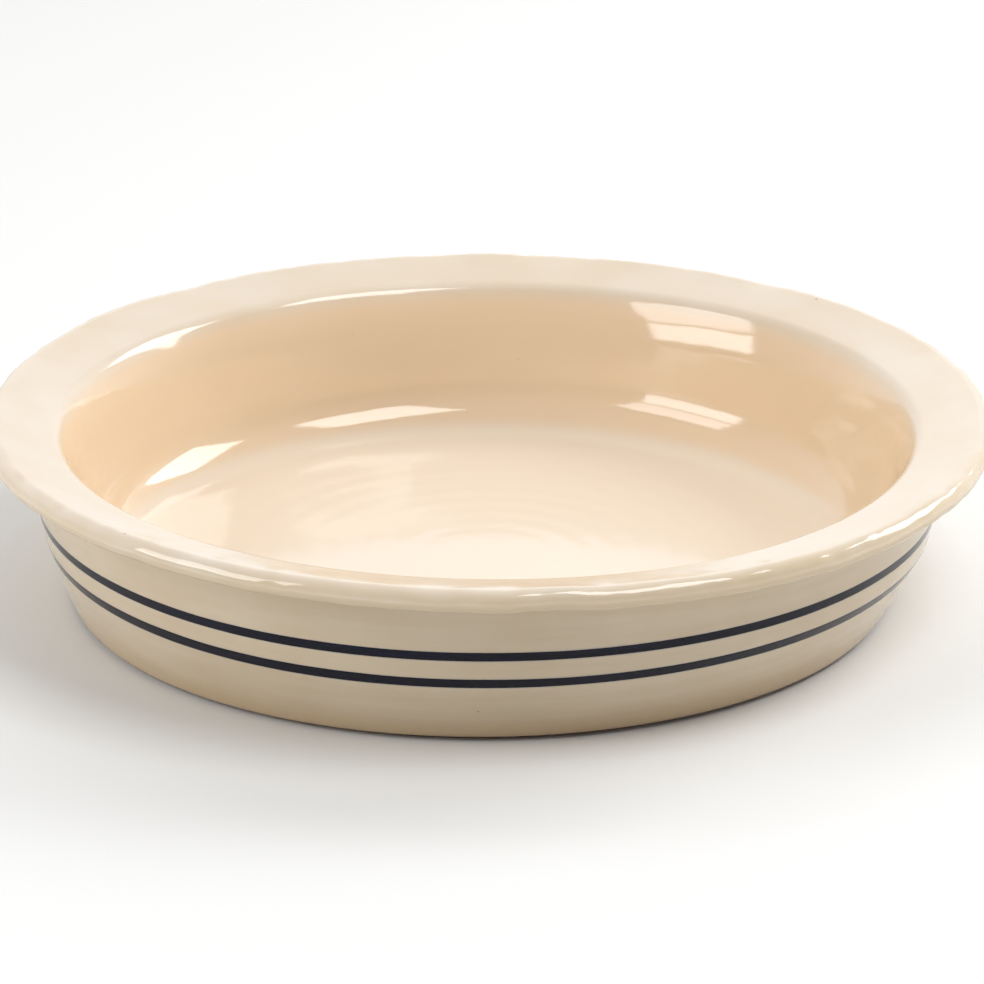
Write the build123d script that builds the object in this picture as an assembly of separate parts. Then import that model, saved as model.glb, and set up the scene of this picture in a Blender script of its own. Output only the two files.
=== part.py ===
from build123d import *
import math
import os

# A thrown stoneware pie dish: a clay body with a broad flange, a coat of glaze inside,
# a coat of glaze outside, and two brushed bands that lie in the outer coat.
# Millimetres, +Z up, with the origin at the centre of the foot, on the table.

# Mouth and flange
mouth_diameter = 239.0
clay_height = 51.5
flange_width = 19.7
flange_rise_angle = 12.0
flange_underside_angle = 16.0
shoulder_radius = 4.0

# Lip
lip_depth = 5.2
lip_top_radius = 2.8
lip_under_radius = 1.9

# Wall
throat_straight = 1.0
throat_lean_angle = 30.0
throat_radius = 35.0
wall_lean_angle = 13.0
wall_thickness = 12.1
root_thickness = 8.0
root_radius = 3.0
belly_height = 22.0
belly_radius = 8.0
lower_lean_angle = 24.5

# Floor and foot
floor_thickness = 6.3
cove_radius = 16.0
foot_ring_width = 9.0
foot_recess_depth = 1.2
recess_slope_width = 1.4
foot_edge_radius = 5.2
foot_inner_radius = 0.6

# Glaze and bands
glaze_thickness = 0.5
glaze_line_height = 1.6
band_width = 2.6
band_depth = 0.25
upper_band_height = 28.4
band_spacing = 8.3

# Reach of every cutting shape beyond the dish
overrun = 5.0

# Sizes that follow from those above
flange_slope = math.tan(math.radians(flange_rise_angle))
underside_slope = math.tan(math.radians(flange_underside_angle))
throat_lean = math.tan(math.radians(throat_lean_angle))
wall_lean = math.tan(math.radians(wall_lean_angle))
lower_lean = math.tan(math.radians(lower_lean_angle))
lip_reach = flange_slope + 1 / math.cos(math.radians(flange_rise_angle))

mouth_radius = mouth_diameter / 2
rim_radius = mouth_radius + flange_width
lip_corner_height = clay_height + lip_top_radius * (lip_reach - 1)
lip_under_height = lip_corner_height - lip_depth
mouth_height = lip_corner_height - flange_width * flange_slope

# The throat runs down from the shoulder's curve, by a straight, to its own curve
throat_turn = math.radians(throat_lean_angle - wall_lean_angle)
shoulder_turn = math.radians(90 - throat_lean_angle - flange_rise_angle)
throat_curve_run = throat_radius * math.tan(throat_turn / 2)
shoulder_curve_run = shoulder_radius * math.tan(shoulder_turn / 2)
throat_run = shoulder_curve_run + throat_straight + throat_curve_run
throat_depth = throat_run * math.cos(math.radians(throat_lean_angle))
throat_height = mouth_height - throat_depth
throat_wall_radius = mouth_radius - throat_depth * throat_lean
floor_height = foot_recess_depth + floor_thickness


def inner_wall_radius(height):
    """Radius of the inside wall at a height under the throat, before rounding."""
    return throat_wall_radius - (throat_height - height) * wall_lean


wall_top_radius = mouth_radius + root_thickness
wall_top_height = lip_under_height - (rim_radius - wall_top_radius) * underside_slope
belly_wall_radius = inner_wall_radius(belly_height) + wall_thickness
foot_radius = belly_wall_radius - belly_height * lower_lean
foot_ring_radius = foot_radius - foot_ring_width
floor_corner_radius = inner_wall_radius(floor_height)


def clay_profile():
    """Half section of the clay, from the middle of the floor round to the foot."""
    corners = [
        ((0, floor_height), 0),
        ((floor_corner_radius, floor_height), cove_radius),
        ((throat_wall_radius, throat_height), throat_radius),
        ((mouth_radius, mouth_height), shoulder_radius),
        ((rim_radius, lip_corner_height), lip_top_radius),
        ((rim_radius, lip_under_height), lip_under_radius),
        ((wall_top_radius, wall_top_height), root_radius),
        ((belly_wall_radius, belly_height), belly_radius),
        ((foot_radius, 0), foot_edge_radius),
        ((foot_ring_radius, 0), foot_inner_radius),
        ((foot_ring_radius - recess_slope_width, foot_recess_depth), foot_inner_radius),
        ((0, foot_recess_depth), 0),
    ]
    points = [point for point, radius in corners]
    radii = [radius for point, radius in corners]
    return make_face(FilletPolyline(*points, radius=radii, close=True))


def inside_region():
    """All that lies above and inside a line down the middle of the clay."""
    floor_middle = (floor_height + foot_recess_depth) / 2
    lip_middle = (lip_corner_height + lip_under_height) / 2
    line = [
        (0, floor_middle),
        ((floor_corner_radius + foot_radius) / 2, floor_middle),
        ((mouth_radius + wall_top_radius) / 2, (mouth_height + wall_top_height) / 2),
        (rim_radius - lip_top_radius, lip_middle),
        (rim_radius + overrun, lip_middle),
        (rim_radius + overrun, clay_height + overrun),
        (0, clay_height + overrun),
    ]
    return make_face(Polyline(*line, close=True))


def outside_slice(low, high):
    """Everything from the middle of the foot ring outwards, between two heights."""
    start = (foot_ring_radius + foot_radius) / 2
    reach = rim_radius + overrun
    corners = [(start, low), (reach, low), (reach, high), (start, high)]
    return make_face(Polyline(*corners, close=True))


def glaze_coats(clay):
    """Half sections of the two coats: the inside with the flange, and the outside."""
    coat = offset(clay, glaze_thickness) - clay
    inner = coat & inside_region()
    glazed_heights = outside_slice(glaze_line_height, clay_height + overrun)
    outer = (coat - inside_region()) & glazed_heights
    return inner, outer


def band(clay, outer, height):
    """Half section of a band that lies in the outer coat, flush with its surface."""
    stripe = outer & outside_slice(height - band_width / 2, height + band_width / 2)
    return stripe - offset(clay, glaze_thickness - band_depth)


def turned(profile):
    """The solid that a half section makes as it turns about the axis."""
    return revolve(Plane.XZ * profile, axis=Axis.Z)


clay = clay_profile()
inner_coat, whole_outer_coat = glaze_coats(clay)
upper_band = band(clay, whole_outer_coat, upper_band_height)
lower_band = band(clay, whole_outer_coat, upper_band_height - band_spacing)
outer_coat = whole_outer_coat - upper_band - lower_band

nodes = {
    "stoneware_body": clay,
    "inner_glaze": inner_coat,
    "outer_glaze": outer_coat,
    "upper_band": upper_band,
    "lower_band": lower_band,
}
os.makedirs("parts", exist_ok=True)
for name, profile in nodes.items():
    export_step(turned(profile), f"parts/{name}.step")
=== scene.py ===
import math
import bpy
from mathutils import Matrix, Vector


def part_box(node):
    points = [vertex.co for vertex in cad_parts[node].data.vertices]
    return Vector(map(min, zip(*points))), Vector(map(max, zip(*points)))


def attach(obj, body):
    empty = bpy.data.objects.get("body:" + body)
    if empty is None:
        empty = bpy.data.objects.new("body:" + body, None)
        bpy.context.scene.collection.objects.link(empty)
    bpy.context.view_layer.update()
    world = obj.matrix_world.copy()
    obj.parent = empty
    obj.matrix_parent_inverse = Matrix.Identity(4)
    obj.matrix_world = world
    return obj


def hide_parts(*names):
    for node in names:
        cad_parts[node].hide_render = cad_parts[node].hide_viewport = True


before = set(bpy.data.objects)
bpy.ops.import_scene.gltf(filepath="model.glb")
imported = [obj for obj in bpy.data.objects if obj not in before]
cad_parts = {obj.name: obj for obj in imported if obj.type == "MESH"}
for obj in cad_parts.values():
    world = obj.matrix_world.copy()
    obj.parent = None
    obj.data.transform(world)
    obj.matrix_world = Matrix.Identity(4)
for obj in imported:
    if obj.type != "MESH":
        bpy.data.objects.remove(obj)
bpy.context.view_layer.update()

MM = 0.001

# The clay pot
# One lump of stoneware, thrown on the wheel: a flat floor, a coved wall and a broad flange.
# Only its foot shows, because the rest is under glaze; it is turned from one half section,
# and its lip keeps the slow waves that a hand leaves.
clay_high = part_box("stoneware_body")[1]
rim_radius = clay_high[0] / MM
clay_height = clay_high[2] / MM
flange_width = 19.7
flange_rise_angle = math.radians(12.0)
flange_underside_angle = math.radians(16.0)
flange_slope = math.tan(flange_rise_angle)
underside_slope = math.tan(flange_underside_angle)
shoulder_radius = 4.0
lip_depth = 5.2
lip_top_radius = 2.8
lip_under_radius = 1.9
lip_reach = flange_slope + 1 / math.cos(flange_rise_angle)
throat_straight = 1.0
throat_angle = math.radians(30.0)
throat_radius = 35.0
wall_angle = math.radians(13.0)
wall_lean = math.tan(wall_angle)
wall_thickness = 12.1
root_thickness = 8.0
root_radius = 3.0
belly_height = 22.0
belly_radius = 8.0
lower_lean = math.tan(math.radians(24.5))
floor_height = 7.5
cove_radius = 16.0
foot_ring_width = 9.0
foot_recess_depth = 1.2
recess_slope_width = 1.4
foot_edge_radius = 5.2
foot_inner_radius = 0.6

around = 480                    # columns round the pot, under 2 mm apart at the lip
arc_step = math.radians(6.0)    # turn from one point to the next on a rounded corner
seen_spacing = 1.6              # mm between rows where a surface shows
hidden_spacing = 10.0           # mm between rows where it doesn't
shut_distance = 2e-6            # m: closer points are one point, at a seam or a pole
sharp_angle = math.radians(40.0)    # a bend beyond this is an edge and isn't smoothed

lip_wave_start = 120.0          # mm from the axis: the flange is true up to here
lip_sway = 2.3                  # mm in and out, over the whole range of the noise
lip_lift = 1.7                  # mm up and down, likewise
lip_lumps = 1.8                 # mm, the short lumps that make the gleam on the lip wander
lip_dabs = 0.50                 # mm, dents of a fingertip that break the gleam
dab_size = 6.0                  # mm
slow_waves = 1.5                # scale of the noise on a circle of radius 1, and so below
short_waves = 7.5
round_waves = 0.6               # the out-of-round
wander_waves = 1.6              # a brush up and down
swell_waves = 3.5               # a brush pressing more or less
circle_spacing = 3.7            # from one wave's circle to the next, so that no two agree
lump_hold = 4.0                 # power that keeps the lumps to the edge of the lip
give_hold = 3.0                 # power that keeps a droop or a dent to its own side
flange_droop = 1.3              # mm that the flange sinks on its near right
droop_bearing = math.radians(-40)
rim_dent = 1.3                  # mm that the lip is pushed in on its near left
dent_bearing = math.radians(-140)
droop_start_height = 34.0       # mm: the wall is true up to here
droop_full_height = 46.0
out_of_round = 0.0035           # share of the radius
throwing_ring_height = 0.025    # mm
throwing_ring_spacing = 8.5     # mm
ring_clear_centre = 9.0         # mm: the rings fade in from here
ring_full_radius = 26.0
ring_fade_radius = 70.0
ring_last_radius = 94.0
inside_height = 4.0             # mm: the rings are on surfaces above this
foot_shift = -2.0               # mm: the foot was trimmed a little off centre


def rounded_outline(corners, spacing):
    """Points (r, z) with outward normals along straight runs and rounded corners."""
    line = []
    last = None
    for index, (corner, radius) in enumerate(corners):
        corner = Vector(corner)
        if index in (0, len(corners) - 1):
            other = Vector(corners[1][0]) if index == 0 else Vector(corners[-2][0])
            along = (other - corner if index == 0 else corner - other).normalized()
            arc = [(corner, Vector((-along.y, along.x)))]
        else:
            before = (corner - Vector(corners[index - 1][0])).normalized()
            after = (Vector(corners[index + 1][0]) - corner).normalized()
            turn = math.atan2(before.x * after.y - before.y * after.x, before.dot(after))
            side = 1 if turn > 0 else -1
            start = corner - before * radius * math.tan(abs(turn) / 2)
            centre = start + Vector((-before.y, before.x)) * side * radius
            steps = max(1, math.ceil(abs(turn) / arc_step))
            arc = []
            for step in range(steps + 1):
                swing = turn * step / steps
                tangent = Vector((before.x * math.cos(swing) - before.y * math.sin(swing),
                                  before.x * math.sin(swing) + before.y * math.cos(swing)))
                normal = Vector((-tangent.y, tangent.x))
                arc.append((centre - normal * side * radius, normal))
        if last is not None:
            run = arc[0][0] - last[0]
            pieces = max(1, math.ceil(run.length / spacing))
            for piece in range(1, pieces):
                line.append((last[0] + run * piece / pieces, arc[0][1]))
        line.extend(arc)
        last = arc[-1]
    return line


def raised(outline, height):
    """An outline moved out along its normals."""
    return [(point + normal * height, normal) for point, normal in outline]


def down_to(outline, height):
    """The start of an outline, cut off where it sinks below a height."""
    kept = []
    for point, normal in outline:
        if point.y < height:
            above = kept[-1][0]
            share = (above.y - height) / (above.y - point.y)
            kept.append((above.lerp(point, share), normal))
            break
        kept.append((point, normal))
    return kept


quarter_turn = math.pi / 2
mouth_radius = rim_radius - flange_width
lip_corner_height = clay_height + lip_top_radius * (lip_reach - 1)
lip_under_height = lip_corner_height - lip_depth
lip_top_tangent = lip_top_radius * math.tan((quarter_turn + flange_rise_angle) / 2)
lip_under_tangent = lip_under_radius * math.tan((quarter_turn - flange_underside_angle) / 2)
lip_join_height = (lip_corner_height - lip_top_tangent
                   + lip_under_height + lip_under_tangent) / 2
mouth_height = lip_corner_height - flange_width * flange_slope
wall_top_radius = mouth_radius + root_thickness
wall_top_height = lip_under_height - (rim_radius - wall_top_radius) * underside_slope
throat_turn = throat_angle - wall_angle
shoulder_turn = quarter_turn - flange_rise_angle - throat_angle
throat_run = (throat_straight + throat_radius * math.tan(throat_turn / 2)
              + shoulder_radius * math.tan(shoulder_turn / 2))
throat_height = mouth_height - throat_run * math.cos(throat_angle)
throat_wall_radius = mouth_radius - throat_run * math.sin(throat_angle)
floor_corner_radius = throat_wall_radius - (throat_height - floor_height) * wall_lean
belly_wall_radius = (throat_wall_radius - (throat_height - belly_height) * wall_lean
                     + wall_thickness)
foot_radius = belly_wall_radius - belly_height * lower_lean
foot_ring_radius = foot_radius - foot_ring_width

inside_corners = [
    ((0, floor_height), 0),
    ((floor_corner_radius, floor_height), cove_radius),
    ((throat_wall_radius, throat_height), throat_radius),
    ((mouth_radius, mouth_height), shoulder_radius),
    ((rim_radius, lip_corner_height), lip_top_radius),
    ((rim_radius, lip_join_height), 0),
]
outside_corners = [
    ((rim_radius, lip_join_height), 0),
    ((rim_radius, lip_under_height), lip_under_radius),
    ((wall_top_radius, wall_top_height), root_radius),
    ((belly_wall_radius, belly_height), belly_radius),
    ((foot_radius, 0), foot_edge_radius),
    ((foot_ring_radius, 0), foot_inner_radius),
    ((foot_ring_radius - recess_slope_width, foot_recess_depth), foot_inner_radius),
    ((0, foot_recess_depth), 0),
]


def linear(hex_colour, alpha=1.0):
    """A colour given as sRGB hex, as the linear values that Blender's sockets take."""
    values = [int(hex_colour[i:i + 2], 16) / 255 for i in (1, 3, 5)]
    return tuple(v / 12.92 if v <= 0.04045 else ((v + 0.055) / 1.055) ** 2.4
                 for v in values) + (alpha,)


def add_node(tree, kind, inputs=None, **settings):
    """Adds a node with its settings, and links or fills its inputs."""
    made = tree.nodes.new(kind)
    for setting, value in settings.items():
        setattr(made, setting, value)
    for socket, value in (inputs or {}).items():
        if isinstance(value, bpy.types.Node):
            value = value.outputs[0]
        if isinstance(value, bpy.types.NodeSocket):
            tree.links.new(value, made.inputs[socket])
        else:
            made.inputs[socket].default_value = value
    return made


def wheel_tree():
    """Geometry nodes that turn a half section about Z and give it its hand-made waves."""
    tree = bpy.data.node_groups.new("turned on the wheel", "GeometryNodeTree")
    wanted = [("Section", "Geometry"), ("Around", "Int"), ("Lip Wave Start", "Float"),
              ("Lip Radius", "Float"), ("Lip Sway", "Float"), ("Lip Lift", "Float"),
              ("Lip Lumps", "Float"), ("Out Of Round", "Float"), ("Ring Height", "Float"),
              ("Ring Spacing", "Float"), ("Flange Droop", "Float"), ("Droop Bearing", "Float"),
              ("Rim Dent", "Float"), ("Dent Bearing", "Float"), ("Lip Dabs", "Float"),
              ("Foot Shift", "Float"), ("Brush Wander", "Float"), ("Brush Swell", "Float"),
              ("Band Height", "Float"), ("Wall Slope", "Float"), ("Glaze", "Material")]
    for name, kind in wanted:
        tree.interface.new_socket(name=name, in_out="INPUT", socket_type="NodeSocket" + kind)
    tree.interface.new_socket(name="Pot", in_out="OUTPUT", socket_type="NodeSocketGeometry")
    given = add_node(tree, "NodeGroupInput").outputs

    # A grid with a row for each point of the section and a column for each step round
    count = add_node(tree, "GeometryNodeAttributeDomainSize", {"Geometry": given["Section"]},
                     component="MESH").outputs["Point Count"]
    columns = add_node(tree, "FunctionNodeIntegerMath", {0: given["Around"], 1: 1},
                       operation="ADD")
    grid = add_node(tree, "GeometryNodeMeshGrid", {"Vertices X": count, "Vertices Y": columns})
    index = add_node(tree, "GeometryNodeInputIndex")
    row = add_node(tree, "FunctionNodeIntegerMath", {0: index, 1: columns},
                   operation="DIVIDE_FLOOR")
    column = add_node(tree, "FunctionNodeIntegerMath", {0: index, 1: columns},
                      operation="MODULO")
    place = add_node(tree, "GeometryNodeInputPosition")
    sampled = add_node(tree, "GeometryNodeSampleIndex",
                       {"Geometry": given["Section"], "Value": place, "Index": row},
                       data_type="FLOAT_VECTOR", domain="POINT")
    split = add_node(tree, "ShaderNodeSeparateXYZ", {0: sampled}).outputs
    radius, height = split["X"], split["Z"]
    step = add_node(tree, "ShaderNodeMath", {0: math.tau, 1: given["Around"]},
                    operation="DIVIDE")
    angle = add_node(tree, "ShaderNodeMath", {0: column, 1: step}, operation="MULTIPLY")
    cosine = add_node(tree, "ShaderNodeMath", {0: angle}, operation="COSINE")
    sine = add_node(tree, "ShaderNodeMath", {0: angle}, operation="SINE")

    # Seven slow or short waves, each from noise on its own circle, so that they close up
    waves = {}
    for seed, (name, size, detail) in enumerate((
            ("sway", slow_waves, 3.0), ("lift", slow_waves, 3.0), ("lump out", short_waves, 2.0),
            ("lump up", short_waves, 2.0), ("round", round_waves, 0.0),
            ("wander", wander_waves, 2.0), ("swell", swell_waves, 3.0))):
        circle = add_node(tree, "ShaderNodeCombineXYZ",
                          {"X": cosine, "Y": sine, "Z": circle_spacing * (seed + 1)})
        noise = add_node(tree, "ShaderNodeTexNoise",
                         {"Vector": circle, "Scale": size, "Detail": detail})
        waves[name] = add_node(tree, "ShaderNodeMath", {0: noise, 1: 0.5},
                               operation="SUBTRACT")

    lip_share = add_node(tree, "ShaderNodeMapRange",
                         {"Value": radius, "From Min": given["Lip Wave Start"],
                          "From Max": given["Lip Radius"]}, interpolation_type="SMOOTHSTEP")
    lump_share = add_node(tree, "ShaderNodeMath", {0: lip_share, 1: lump_hold},
                          operation="POWER")
    moves = {}
    for name, parts in (("out", (("sway", "Lip Sway", lip_share),
                                 ("lump out", "Lip Lumps", lump_share),
                                 ("round", "Out Of Round", radius))),
                        ("up", (("lift", "Lip Lift", lip_share),
                                ("lump up", "Lip Lumps", lump_share)))):
        total = None
        for wave, amount, share in parts:
            size = add_node(tree, "ShaderNodeMath", {0: waves[wave], 1: given[amount]},
                            operation="MULTIPLY")
            size = add_node(tree, "ShaderNodeMath", {0: size, 1: share}, operation="MULTIPLY")
            total = size if total is None else add_node(
                tree, "ShaderNodeMath", {0: total, 1: size}, operation="ADD")
        moves[name] = total

    # Fingertip dents on the lip, from noise in space, the same outward and upward
    round_x = add_node(tree, "ShaderNodeMath", {0: radius, 1: cosine}, operation="MULTIPLY")
    round_y = add_node(tree, "ShaderNodeMath", {0: radius, 1: sine}, operation="MULTIPLY")
    spot = add_node(tree, "ShaderNodeCombineXYZ", {"X": round_x, "Y": round_y, "Z": height})
    dabs = add_node(tree, "ShaderNodeTexNoise",
                    {"Vector": spot, "Scale": 1 / (dab_size * MM), "Detail": 1.0})
    dab = add_node(tree, "ShaderNodeMath", {0: dabs, 1: 0.5}, operation="SUBTRACT")
    dab = add_node(tree, "ShaderNodeMath", {0: dab, 1: given["Lip Dabs"]}, operation="MULTIPLY")
    dab = add_node(tree, "ShaderNodeMath", {0: dab, 1: lump_share}, operation="MULTIPLY")
    for name in moves:
        moves[name] = add_node(tree, "ShaderNodeMath", {0: moves[name], 1: dab},
                               operation="ADD")

    # Two places where the soft rim gave way: it sank on one side, was pushed in on another
    high = add_node(tree, "ShaderNodeMapRange",
                    {"Value": height, "From Min": droop_start_height * MM,
                     "From Max": droop_full_height * MM}, interpolation_type="SMOOTHSTEP")
    for move, amount, bearing, share in (("up", "Flange Droop", "Droop Bearing", high),
                                         ("out", "Rim Dent", "Dent Bearing", lip_share)):
        turned = add_node(tree, "ShaderNodeMath", {0: angle, 1: given[bearing]},
                          operation="SUBTRACT")
        facing = add_node(tree, "ShaderNodeMath", {0: turned}, operation="COSINE")
        facing = add_node(tree, "ShaderNodeMath", {0: facing, 1: 0.0}, operation="MAXIMUM")
        facing = add_node(tree, "ShaderNodeMath", {0: facing, 1: give_hold},
                          operation="POWER")
        given_way = add_node(tree, "ShaderNodeMath", {0: facing, 1: given[amount]},
                             operation="MULTIPLY")
        given_way = add_node(tree, "ShaderNodeMath", {0: given_way, 1: share},
                             operation="MULTIPLY")
        moves[move] = add_node(tree, "ShaderNodeMath", {0: moves[move], 1: given_way},
                               operation="SUBTRACT")

    # The spiral that the fingers leave on the floor, gone at its centre and at the cove
    turns = add_node(tree, "ShaderNodeMath", {0: radius, 1: given["Ring Spacing"]},
                     operation="DIVIDE")
    spiral = add_node(tree, "ShaderNodeMath", {0: turns, 1: math.tau, 2: angle},
                      operation="MULTIPLY_ADD")
    ring = add_node(tree, "ShaderNodeMath", {0: spiral}, operation="SINE")
    ring = add_node(tree, "ShaderNodeMath", {0: ring, 1: given["Ring Height"]},
                    operation="MULTIPLY")
    for low, high in ((ring_clear_centre, ring_full_radius),
                      (ring_last_radius, ring_fade_radius)):
        fade = add_node(tree, "ShaderNodeMapRange",
                        {"Value": radius, "From Min": low * MM, "From Max": high * MM},
                        interpolation_type="SMOOTHSTEP")
        ring = add_node(tree, "ShaderNodeMath", {0: ring, 1: fade}, operation="MULTIPLY")
    inside = add_node(tree, "ShaderNodeMath", {0: height, 1: inside_height * MM},
                      operation="GREATER_THAN")
    ring = add_node(tree, "ShaderNodeMath", {0: ring, 1: inside}, operation="MULTIPLY")

    # A band's brush wanders up and down the wall, and presses more here and less there
    wander = add_node(tree, "ShaderNodeMath", {0: waves["wander"], 1: given["Brush Wander"]},
                      operation="MULTIPLY")
    across = add_node(tree, "ShaderNodeMath", {0: height, 1: given["Band Height"]},
                      operation="SUBTRACT")
    swell = add_node(tree, "ShaderNodeMath", {0: waves["swell"], 1: given["Brush Swell"]},
                     operation="MULTIPLY")
    brush = add_node(tree, "ShaderNodeMath", {0: across, 1: swell, 2: wander},
                     operation="MULTIPLY_ADD")
    lean = add_node(tree, "ShaderNodeMath", {0: brush, 1: given["Wall Slope"], 2: moves["out"]},
                    operation="MULTIPLY_ADD")

    # Every move adds up to one place for each point, and the mesh closes at seam and pole
    reach = add_node(tree, "ShaderNodeMath", {0: radius, 1: lean}, operation="ADD")
    rise = add_node(tree, "ShaderNodeMath", {0: height, 1: moves["up"]}, operation="ADD")
    rise = add_node(tree, "ShaderNodeMath", {0: rise, 1: ring}, operation="ADD")
    rise = add_node(tree, "ShaderNodeMath", {0: rise, 1: brush}, operation="ADD")

    # The foot is a little to one side, where the trimming tool cut it off centre
    x = add_node(tree, "ShaderNodeMath", {0: reach, 1: cosine}, operation="MULTIPLY")
    shift = add_node(tree, "ShaderNodeMapRange",
                     {"Value": height, "From Min": 0.0, "From Max": belly_height * MM,
                      "To Min": given["Foot Shift"], "To Max": 0.0})
    x = add_node(tree, "ShaderNodeMath", {0: x, 1: shift}, operation="ADD")
    y = add_node(tree, "ShaderNodeMath", {0: reach, 1: sine}, operation="MULTIPLY")
    thrown = add_node(tree, "ShaderNodeCombineXYZ", {"X": x, "Y": y, "Z": rise})
    shape = add_node(tree, "GeometryNodeSetPosition", {"Geometry": grid, "Position": thrown})
    shape = add_node(tree, "GeometryNodeMergeByDistance",
                     {"Geometry": shape, "Distance": shut_distance})
    shape = add_node(tree, "GeometryNodeSetShadeSmooth",
                     {"Geometry": shape, "Shade Smooth": True}, domain="FACE")
    bend = add_node(tree, "GeometryNodeInputMeshEdgeAngle").outputs["Unsigned Angle"]
    sharp = add_node(tree, "ShaderNodeMath", {0: bend, 1: sharp_angle},
                     operation="GREATER_THAN")
    shape = add_node(tree, "GeometryNodeSetShadeSmooth",
                     {"Geometry": shape, "Selection": sharp, "Shade Smooth": False},
                     domain="EDGE")
    shape = add_node(tree, "GeometryNodeRealizeInstances", {"Geometry": shape})
    shape = add_node(tree, "GeometryNodeSetMaterial",
                     {"Geometry": shape, "Material": given["Glaze"]})
    add_node(tree, "NodeGroupOutput", {"Pot": shape})
    return tree


wheel = wheel_tree()
hand_work = {
    "Around": around, "Lip Wave Start": lip_wave_start * MM, "Lip Radius": rim_radius * MM,
    "Lip Sway": lip_sway * MM, "Lip Lift": lip_lift * MM, "Lip Lumps": lip_lumps * MM,
    "Out Of Round": out_of_round, "Ring Height": throwing_ring_height * MM,
    "Ring Spacing": throwing_ring_spacing * MM,
    "Flange Droop": flange_droop * MM, "Droop Bearing": droop_bearing,
    "Rim Dent": rim_dent * MM, "Dent Bearing": dent_bearing,
    "Lip Dabs": lip_dabs * MM, "Foot Shift": foot_shift * MM,
}


def throw(name, section, glaze, **changes):
    """A finished piece, turned from the points of its half section."""
    line = bpy.data.meshes.new(name + "_section")
    line.from_pydata([(point.x * MM, 0, point.y * MM) for point in section],
                     [(i, i + 1) for i in range(len(section) - 1)], [])
    piece = bpy.data.objects.new(name, line)
    bpy.context.scene.collection.objects.link(piece)
    turning = piece.modifiers.new("wheel", "NODES")
    turning.node_group = wheel
    values = dict(hand_work, **{key.replace("_", " "): value for key, value in changes.items()})
    values["Glaze"] = glaze
    for socket in wheel.interface.items_tree:
        if socket.in_out == "INPUT" and socket.name in values:
            turning[socket.identifier] = values[socket.name]
    evaluated = piece.evaluated_get(bpy.context.evaluated_depsgraph_get())
    thrown = bpy.data.meshes.new_from_object(evaluated)
    piece.modifiers.remove(turning)
    piece.data = thrown
    thrown.name = name
    bpy.data.meshes.remove(line)
    return piece


# Bare fired stoneware: a dry, matt, slightly gritty tan, toasted dark where the glaze stops and
# drawn darker there still as painted shade where the foot meets the table
clay_tan = "#a4845f"
clay_dark = "#7b5a3a"
toasted_and_shaded_clay = "#5c3814"
clay_roughness = 0.82
clay_ior = 1.5
clay_sheen = 0.15               # dry clay scarcely mirrors the white table
grog_size = 0.9                 # mm, the coarse grains in the clay
grit_depth = 0.06               # mm that they stand out
clay_cloud_size = 18.0          # mm
grain_range = (0.12, 0.38)      # of grains and clouds together, from dark to tan
glaze_line_height = 1.6         # mm: the bare clay shows below it
toast_and_shade_start_height = 0.1        # mm: the toasted ring, partly painted contact shade, fades in from here to the glaze line

bare_stoneware = bpy.data.materials.new("fired_stoneware_clay")
bare_stoneware.use_nodes = True
tree = bare_stoneware.node_tree
shader = tree.nodes["Principled BSDF"]
shader.inputs["Roughness"].default_value = clay_roughness
shader.inputs["IOR"].default_value = clay_ior
shader.inputs["Specular IOR Level"].default_value = clay_sheen
place = add_node(tree, "ShaderNodeTexCoord").outputs["Object"]
grog = add_node(tree, "ShaderNodeTexNoise",
                {"Vector": place, "Scale": 1 / (grog_size * MM), "Detail": 3.0})
clouds = add_node(tree, "ShaderNodeTexNoise",
                  {"Vector": place, "Scale": 1 / (clay_cloud_size * MM), "Detail": 2.0})
grains = add_node(tree, "ShaderNodeMath", {0: grog, 1: clouds}, operation="MULTIPLY")
grains = add_node(tree, "ShaderNodeMapRange",
                  {"Value": grains, "From Min": grain_range[0], "From Max": grain_range[1]})
clay_colour = add_node(tree, "ShaderNodeMix",
                       {"Factor": grains, "A": linear(clay_dark), "B": linear(clay_tan)},
                       data_type="RGBA")
height = add_node(tree, "ShaderNodeSeparateXYZ", {0: place}).outputs["Z"]
# Toasted clay with painted contact shade, darkest at the glaze line
toasted_and_shaded = add_node(tree, "ShaderNodeMapRange",
                   {"Value": height, "From Min": toast_and_shade_start_height * MM,
                    "From Max": glaze_line_height * MM},
                   interpolation_type="SMOOTHSTEP")
clay_colour = add_node(tree, "ShaderNodeMix",
                       {"Factor": toasted_and_shaded, "A": clay_colour.outputs["Result"],
                        "B": linear(toasted_and_shaded_clay)}, data_type="RGBA")
tree.links.new(clay_colour.outputs["Result"], shader.inputs["Base Color"])
grit = add_node(tree, "ShaderNodeBump",
                {"Height": grog, "Strength": 1.0, "Distance": grit_depth * MM})
tree.links.new(grit.outputs["Normal"], shader.inputs["Normal"])

clay_section = ([point for point, normal in rounded_outline(inside_corners, hidden_spacing)]
                + [point for point, normal
                   in rounded_outline(outside_corners, hidden_spacing)[1:]])
clay_pot = throw("clay_pot", clay_section, bare_stoneware)
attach(clay_pot, "root")
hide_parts("stoneware_body")
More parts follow.
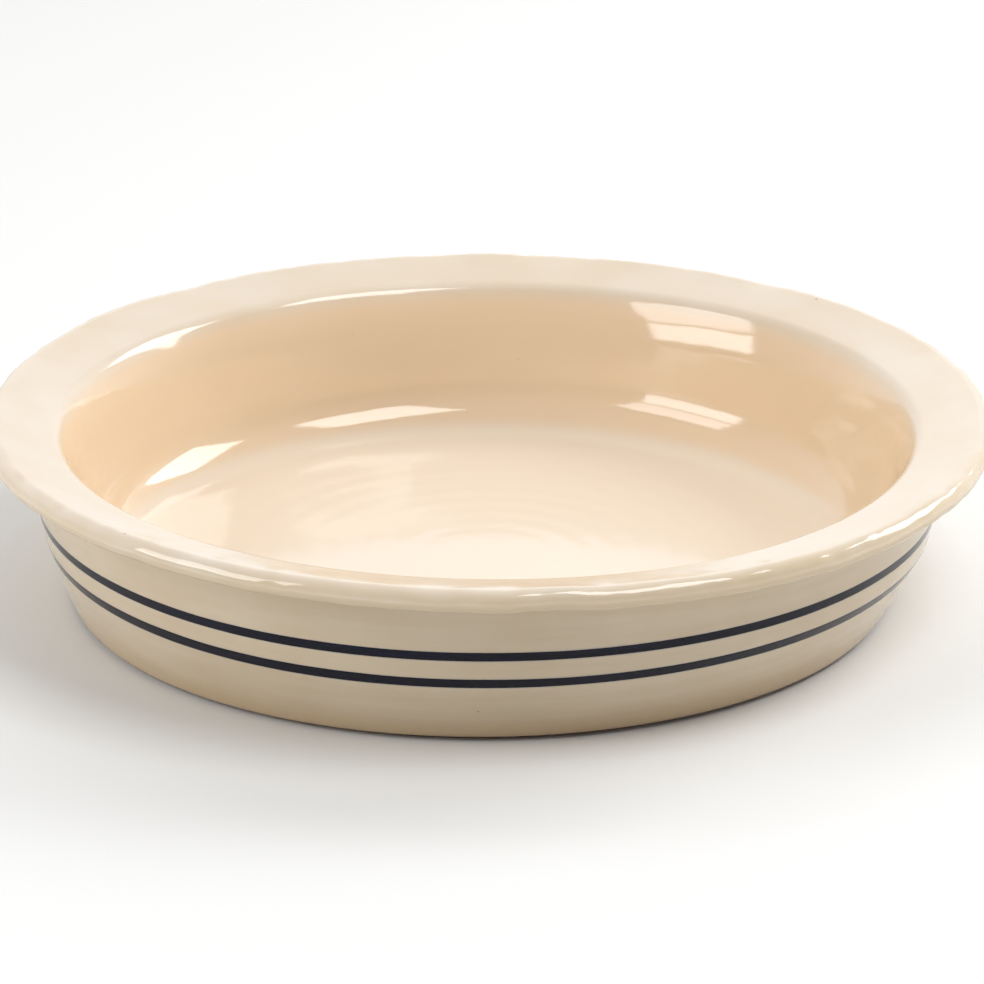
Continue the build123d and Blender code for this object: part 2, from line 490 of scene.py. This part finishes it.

# The liner coat
# A glossy cream stoneware glaze, poured into the pot and run out over the flange to the lip.
# It is about half a millimetre of glass with the clay's warmth under it, and it thins to a tan
# edge where the lip turns over.
# Its colour is drawn warmer on the wall and paler on the floor: painted light, for the light
# that falls and bounces inside the bowl.
glaze_thickness = 0.5
cream = "#dfd3c3"
warm_cream = "#d9c7af"
wall_bounce_tint = "#e6caa7"          # painted light: the warm tone that light bounced round the bowl gives the wall
# painted light: the floor drawn paler, where more light falls on it
floor_light_tint = "#e7dac9"
light_tint_share = 0.84              # how far those two painted light tints hide the clouds of the first
wall_bounce_tint_top = 48.5           # mm: it starts under the shoulder
wall_bounce_tint_full = 43.0
wall_bounce_tint_end = 12.0           # mm: it gives way to the floor's in the cove
floor_light_tint_top = 8.1
thin_tan = "#d3bf9f"            # where the glass draws back from the edge of the lip
thin_inset = 2.4                # mm inside the rim where that starts
thin_outset = 0.4               # mm outside it where it is whole
worn_size = 14.0                # mm from one worn place on the edge to the next
worn_range = (0.4, 0.9)         # how far the tan shows through
iron_brown = "#6b4a2c"
speck_strength = 0.8
glaze_roughness = 0.09
glaze_ior = 1.65
mottle_size = 26.0              # mm, the slow clouds of a dipped or poured glaze
density_range = (0.60, 1.40)    # of clouds and streaks together, from thick to thin
streak_width = 46.0             # mm along the wall
streak_height = 3.5             # mm up it: drawn coarse enough to show
peel_size = 8.0                 # mm from one ripple of the glass to the next
peel_depth = 0.065              # mm
speck_spacing = 15.0            # mm between specks, as points in space
speck_radius = 0.42             # mm


def cream_glaze(name, thick_colour, thin_colour):
    """A cream stoneware glaze: returns the material, its shader, its colour and its place."""
    glaze = bpy.data.materials.new(name)
    glaze.use_nodes = True
    tree = glaze.node_tree
    shader = tree.nodes["Principled BSDF"]
    shader.inputs["Roughness"].default_value = glaze_roughness
    shader.inputs["IOR"].default_value = glaze_ior
    place = add_node(tree, "ShaderNodeTexCoord").outputs["Object"]

    # Slow clouds, and streaks that follow the wheel because they are long across Z
    clouds = add_node(tree, "ShaderNodeTexNoise",
                      {"Vector": place, "Scale": 1 / (mottle_size * MM), "Detail": 3.0})
    stretched = add_node(tree, "ShaderNodeMapping",
                         {"Vector": place,
                          "Scale": (1 / (streak_width * MM), 1 / (streak_width * MM),
                                    1 / (streak_height * MM))})
    streaks = add_node(tree, "ShaderNodeTexNoise",
                       {"Vector": stretched, "Scale": 1.0, "Detail": 3.0})
    density = add_node(tree, "ShaderNodeMath", {0: clouds, 1: streaks}, operation="ADD")
    density = add_node(tree, "ShaderNodeMapRange",
                       {"Value": density, "From Min": density_range[0],
                        "From Max": density_range[1]})
    colour = add_node(tree, "ShaderNodeMix",
                      {"Factor": density, "A": linear(thick_colour),
                       "B": linear(thin_colour)}, data_type="RGBA").outputs["Result"]

    # The glass draws back from the edge of the lip, where the clay shows through as tan
    flat = add_node(tree, "ShaderNodeMapping", {"Vector": place, "Scale": (1, 1, 0)})
    out = add_node(tree, "ShaderNodeVectorMath", {0: flat}, operation="LENGTH").outputs["Value"]
    edge = add_node(tree, "ShaderNodeMapRange",
                    {"Value": out, "From Min": (rim_radius - thin_inset) * MM,
                     "From Max": (rim_radius + thin_outset) * MM},
                    interpolation_type="SMOOTHSTEP")
    worn = add_node(tree, "ShaderNodeTexNoise",
                    {"Vector": place, "Scale": 1 / (worn_size * MM), "Detail": 2.0})
    worn = add_node(tree, "ShaderNodeMapRange",
                    {"Value": worn, "From Min": 0.3, "From Max": 0.7,
                     "To Min": worn_range[0], "To Max": worn_range[1]})
    edge = add_node(tree, "ShaderNodeMath", {0: edge, 1: worn}, operation="MULTIPLY")
    colour = add_node(tree, "ShaderNodeMix",
                      {"Factor": edge, "A": colour, "B": linear(thin_tan)},
                      data_type="RGBA").outputs["Result"]

    # Iron specks: a point in space shows only where the surface passes close to it
    spots = add_node(tree, "ShaderNodeTexVoronoi",
                     {"Vector": place, "Scale": 1 / (speck_spacing * MM)})
    speck = add_node(tree, "ShaderNodeMapRange",
                     {"Value": spots.outputs["Distance"],
                      "From Min": speck_radius / speck_spacing,
                      "From Max": 0.5 * speck_radius / speck_spacing,
                      "To Max": speck_strength})
    colour = add_node(tree, "ShaderNodeMix",
                      {"Factor": speck, "A": colour, "B": linear(iron_brown)},
                      data_type="RGBA").outputs["Result"]

    # The glass is a little rippled, which bends the edges of every reflection
    peel = add_node(tree, "ShaderNodeTexNoise",
                    {"Vector": place, "Scale": 1 / (peel_size * MM), "Detail": 1.0})
    ripple = add_node(tree, "ShaderNodeBump",
                      {"Height": peel, "Strength": 1.0, "Distance": peel_depth * MM})
    tree.links.new(ripple.outputs["Normal"], shader.inputs["Normal"])
    tree.links.new(colour, shader.inputs["Base Color"])
    return glaze, shader, colour, place


liner_glaze, liner_shader, liner_colour, liner_place = cream_glaze(
    "poured_cream_glaze", cream, warm_cream)
tree = liner_glaze.node_tree
height = add_node(tree, "ShaderNodeSeparateXYZ", {0: liner_place}).outputs["Z"]
# Painted light by height: warmer on the wall, paler on the floor
for top, full, tint in ((wall_bounce_tint_top, wall_bounce_tint_full, wall_bounce_tint),
                        (wall_bounce_tint_end, floor_light_tint_top, floor_light_tint)):
    light_tint = add_node(tree, "ShaderNodeMapRange",
                     {"Value": height, "From Min": top * MM, "From Max": full * MM,
                      "To Max": light_tint_share}, interpolation_type="SMOOTHSTEP")
    liner_colour = add_node(tree, "ShaderNodeMix",
                            {"Factor": light_tint, "A": liner_colour, "B": linear(tint)},
                            data_type="RGBA").outputs["Result"]
tree.links.new(liner_colour, liner_shader.inputs["Base Color"])
liner_under = rounded_outline(inside_corners, hidden_spacing)
liner_top = raised(rounded_outline(inside_corners, seen_spacing), glaze_thickness)
liner_section = ([point for point, normal in liner_top]
                 + [point for point, normal in reversed(liner_under)])
liner_coat = throw("liner_coat", liner_section, liner_glaze)
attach(liner_coat, "root")
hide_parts("inner_glaze")

# The dipped coat
# The same glaze on the outside, where the pot was dipped upside down up to its foot.
# It lies a little thinner than inside and is drawn darker and browner, partly painted shade of
# the outer wall, and meets the liner at the lip.
# darker and browner than the liner: partly painted shade of the outer wall
dipped_cream_shaded = "#d2c2aa"
dipped_tan_shaded = "#c8b598"
foot_tan_and_shade = "#bb9f78"
foot_tan_and_shade_height = 13.0          # mm: from here to the foot the coat thins and takes painted shade
bleed_grey = "#8f8f92"
bleed_reach = 0.45              # mm that the blue spreads into the cream
bleed_overlap = 0.1             # mm under the band's edge where it is strongest
bleed_strength = 0.45
foot_thinning_and_shade = 0.75
band_widths = (2.75, 3.05)      # mm: the upper, then the lower, as brushed
band_centres = (28.4, 20.1)     # mm above the table

dipped_glaze, shader, colour, place = cream_glaze(
    "dipped_cream_glaze", dipped_cream_shaded, dipped_tan_shaded)
tree = dipped_glaze.node_tree
height = add_node(tree, "ShaderNodeSeparateXYZ", {0: place}).outputs["Z"]
for centre, width in zip(band_centres, band_widths):
    off = add_node(tree, "ShaderNodeMath", {0: height, 1: centre * MM}, operation="SUBTRACT")
    off = add_node(tree, "ShaderNodeMath", {0: off}, operation="ABSOLUTE")
    bleed = add_node(tree, "ShaderNodeMapRange",
                     {"Value": off, "From Min": (width / 2 + bleed_reach) * MM,
                      "From Max": (width / 2 - bleed_overlap) * MM,
                      "To Max": bleed_strength},
                     interpolation_type="SMOOTHSTEP")
    colour = add_node(tree, "ShaderNodeMix",
                      {"Factor": bleed, "A": colour, "B": linear(bleed_grey)},
                      data_type="RGBA").outputs["Result"]
# Browner towards the foot: partly a thinner coat, partly painted shade under the tucked-in belly
thinned_and_shaded = add_node(tree, "ShaderNodeMapRange",
                   {"Value": height, "From Min": foot_tan_and_shade_height * MM, "From Max": 0.0,
                    "To Max": foot_thinning_and_shade}, interpolation_type="SMOOTHSTEP")
colour = add_node(tree, "ShaderNodeMix",
                  {"Factor": thinned_and_shaded, "A": colour, "B": linear(foot_tan_and_shade)},
                  data_type="RGBA").outputs["Result"]
tree.links.new(colour, shader.inputs["Base Color"])

dipped_under = down_to(rounded_outline(outside_corners, hidden_spacing), glaze_line_height)
dipped_top = down_to(raised(rounded_outline(outside_corners, seen_spacing), glaze_thickness),
                     glaze_line_height)
dipped_section = ([point for point, normal in dipped_top]
                  + [point for point, normal in reversed(dipped_under)]
                  + [dipped_top[0][0]])
dipped_coat = throw("dipped_coat", dipped_section, dipped_glaze)
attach(dipped_coat, "root")
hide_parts("outer_glaze")

# The two blue bands
# Cobalt slip, laid on with a loaded brush while the pot turned on the wheel.
# Each is a thin stripe that lies in the coat and swells a hair's breadth out of it,
# with edges that wander as the brush did.
band_names = (("upper_blue_band", "upper_band"), ("lower_blue_band", "lower_band"))
band_sunk = 0.2                 # mm that its back lies in the coat
band_proud = 0.05               # mm that its face stands out of it
band_edge_sunk = 0.02           # mm that the very edge of its face lies under the coat
band_shoulder = 0.16            # share of its half width that its edge takes to rise
band_face_steps = 28            # across the face
band_around = 640               # columns round the pot
brush_wander = 0.35             # mm up and down, over the whole range of the noise
brush_swell = 0.30              # share of its width, likewise
navy = "#070918"
thin_navy = "#10142e"
band_roughness = 0.12
band_sheen = 0.16               # the blue is less glassy than the cream, and stays dark
brush_stroke_length = 22.0      # mm round the pot
brush_hair_width = 0.55         # mm: drawn coarse enough to show
brush_hair_depth = 0.02         # mm
brush_load_range = (0.45, 0.75) # of the hairs' noise, from a full brush to a dry one

blue_glaze = bpy.data.materials.new("brushed_cobalt_glaze")
blue_glaze.use_nodes = True
tree = blue_glaze.node_tree
shader = tree.nodes["Principled BSDF"]
shader.inputs["Roughness"].default_value = band_roughness
shader.inputs["IOR"].default_value = glaze_ior
shader.inputs["Specular IOR Level"].default_value = band_sheen
place = add_node(tree, "ShaderNodeTexCoord").outputs["Object"]
stretched = add_node(tree, "ShaderNodeMapping",
                     {"Vector": place,
                      "Scale": (1 / (brush_stroke_length * MM), 1 / (brush_stroke_length * MM),
                                1 / (brush_hair_width * MM))})
hairs = add_node(tree, "ShaderNodeTexNoise",
                 {"Vector": stretched, "Scale": 1.0, "Detail": 2.0})
load = add_node(tree, "ShaderNodeMapRange",
                {"Value": hairs, "From Min": brush_load_range[0],
                 "From Max": brush_load_range[1]})
blue = add_node(tree, "ShaderNodeMix",
                {"Factor": load, "A": linear(navy), "B": linear(thin_navy)}, data_type="RGBA")
tree.links.new(blue.outputs["Result"], shader.inputs["Base Color"])
ripple = add_node(tree, "ShaderNodeBump",
                  {"Height": hairs, "Strength": 1.0, "Distance": brush_hair_depth * MM})
tree.links.new(ripple.outputs["Normal"], shader.inputs["Normal"])


def wall_at(height):
    """Where the coat's face is at a height, with its outward normal."""
    for (above, normal), (below, other) in zip(dipped_top, dipped_top[1:]):
        if above.y >= height >= below.y and above.y < wall_top_height:
            share = (above.y - height) / (above.y - below.y)
            return above.lerp(below, share), normal.lerp(other, share).normalized()


for (piece_name, node_name), centre, width in zip(band_names, band_centres, band_widths):
    face, back = [], []
    for step in range(band_face_steps + 1):
        share = 1 - 2 * step / band_face_steps
        point, normal = wall_at(centre + share * width / 2)
        rise = min(1.0, (1 - abs(share)) / band_shoulder)
        lift = band_proud * math.sin(rise * quarter_turn) - band_edge_sunk * (1 - rise)
        face.append(point + normal * lift)
        if abs(share) in (0.0, 1.0):
            back.append(point - normal * band_sunk)
    lean = wall_at(centre)[1]
    band = throw(piece_name, face + back[::-1] + face[:1], blue_glaze, Around=band_around,
                 Brush_Wander=brush_wander * MM, Brush_Swell=brush_swell,
                 Band_Height=centre * MM, Wall_Slope=-lean.y / lean.x)
    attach(band, "root")
    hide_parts(node_name)

# The table and the studio
# A sheet of white paper in a white tent. Two softboxes hang low at the left front, one above
# the other like the panes of a window. One behind on the right throws the shadow, and one is
# overhead. Two more only whiten the far table and fill the right, out of all reflections.
paper_white = "#e8e8e7"
paper_roughness = 0.9
paper_sheen = 0.1
paper_size = 12.0               # m
tent_behind = 1.10              # radiance of the tent low behind the pot
tent_before = 0.17              # low on the camera's side
tent_above = 0.32
tent_turn = (-0.3, 0.75)        # Y of the direction: from the front's radiance to the back's
tent_roof = (0.35, 0.8)         # Z of the direction: from the sides to the roof
lamp_aim = Vector((0, 0, 0.02)) # m
aimed_lamps = (
    # name, azimuth from +Y towards +X, elevation, distance, width, height, radiance
    ("left_softbox_low", -113, 17, 1.3, 0.76, 0.31, 5.5),
    ("left_softbox_high", -113, 33.5, 1.3, 0.76, 0.36, 4.2),
    ("back_softbox", 62, 33, 1.3, 0.70, 0.54, 6.4),
    ("overhead_softbox", 128, 60, 1.6, 0.90, 0.68, 5.8),
)
fill_lamps = (
    # name, place, the way its back points, width, height, radiance
    ("sweep_softbox", (-0.1, 0.95, 1.25), (0, 0, 1), 1.5, 0.7, 1.7),
    ("right_fill", (1.38, -0.73, 0.35), (1.38, -0.73, 0.33), 1.2, 0.5, 0.9),
)
camera_place = (0.0013, -1.415, 0.5588)
camera_tilt = math.radians(90 - 20.60)
camera_lens = 198.17

# Matt white paper, which takes soft shadows and mirrors nothing
paper = bpy.data.materials.new("matt_white_paper")
paper.use_nodes = True
shader = paper.node_tree.nodes["Principled BSDF"]
shader.inputs["Base Color"].default_value = linear(paper_white)
shader.inputs["Roughness"].default_value = paper_roughness
shader.inputs["Specular IOR Level"].default_value = paper_sheen

sheet = bpy.data.meshes.new("white_table")
half = paper_size / 2
sheet.from_pydata([(-half, -half, 0), (half, -half, 0), (half, half, 0), (-half, half, 0)],
                  [], [(0, 1, 2, 3)])
sheet.materials.append(paper)
table = bpy.data.objects.new("white_table", sheet)
bpy.context.scene.collection.objects.link(table)

tent = bpy.data.worlds.new("white_tent")
tent.use_nodes = True
tree = tent.node_tree
way = add_node(tree, "ShaderNodeSeparateXYZ",
               {0: add_node(tree, "ShaderNodeTexCoord").outputs["Generated"]}).outputs
glow = add_node(tree, "ShaderNodeMapRange",
                {"Value": way["Y"], "From Min": tent_turn[0], "From Max": tent_turn[1],
                 "To Min": tent_before, "To Max": tent_behind}, interpolation_type="SMOOTHSTEP")
upward = add_node(tree, "ShaderNodeMapRange",
                  {"Value": way["Z"], "From Min": tent_roof[0], "From Max": tent_roof[1]},
                  interpolation_type="SMOOTHSTEP")
glow = add_node(tree, "ShaderNodeMix", {0: upward, 2: glow, 3: tent_above}, data_type="FLOAT")
tree.nodes["Background"].inputs["Color"].default_value = (1, 1, 1, 1)
tree.links.new(glow.outputs[0], tree.nodes["Background"].inputs["Strength"])
bpy.context.scene.world = tent


def hang_lamp(name, place, way, width, height, radiance):
    """A softbox whose back points along a direction."""
    lamp = bpy.data.lights.new(name, "AREA")
    lamp.shape = "RECTANGLE"
    lamp.size, lamp.size_y = width, height
    lamp.energy = radiance * math.pi * width * height
    holder = bpy.data.objects.new(name, lamp)
    holder.location = place
    holder.rotation_euler = way.to_track_quat("Z", "Y").to_euler()
    bpy.context.scene.collection.objects.link(holder)
    return holder


for name, azimuth, elevation, distance, width, height, radiance in aimed_lamps:
    turn, rise = math.radians(azimuth), math.radians(elevation)
    way = Vector((math.sin(turn) * math.cos(rise), math.cos(turn) * math.cos(rise),
                  math.sin(rise)))
    hang_lamp(name, lamp_aim + way * distance, way, width, height, radiance)
for name, place, way, width, height, radiance in fill_lamps:
    fill = hang_lamp(name, place, Vector(way), width, height, radiance)
    fill.visible_glossy = False

lens = bpy.data.cameras.new("camera")
lens.lens = camera_lens
lens.sensor_width = 36.0
lens.clip_end = 50.0
camera = bpy.data.objects.new("camera", lens)
camera.location = camera_place
camera.rotation_euler = (camera_tilt, 0, 0)
bpy.context.scene.collection.objects.link(camera)
bpy.context.scene.camera = camera
bpy.context.scene.view_settings.view_transform = "Standard"
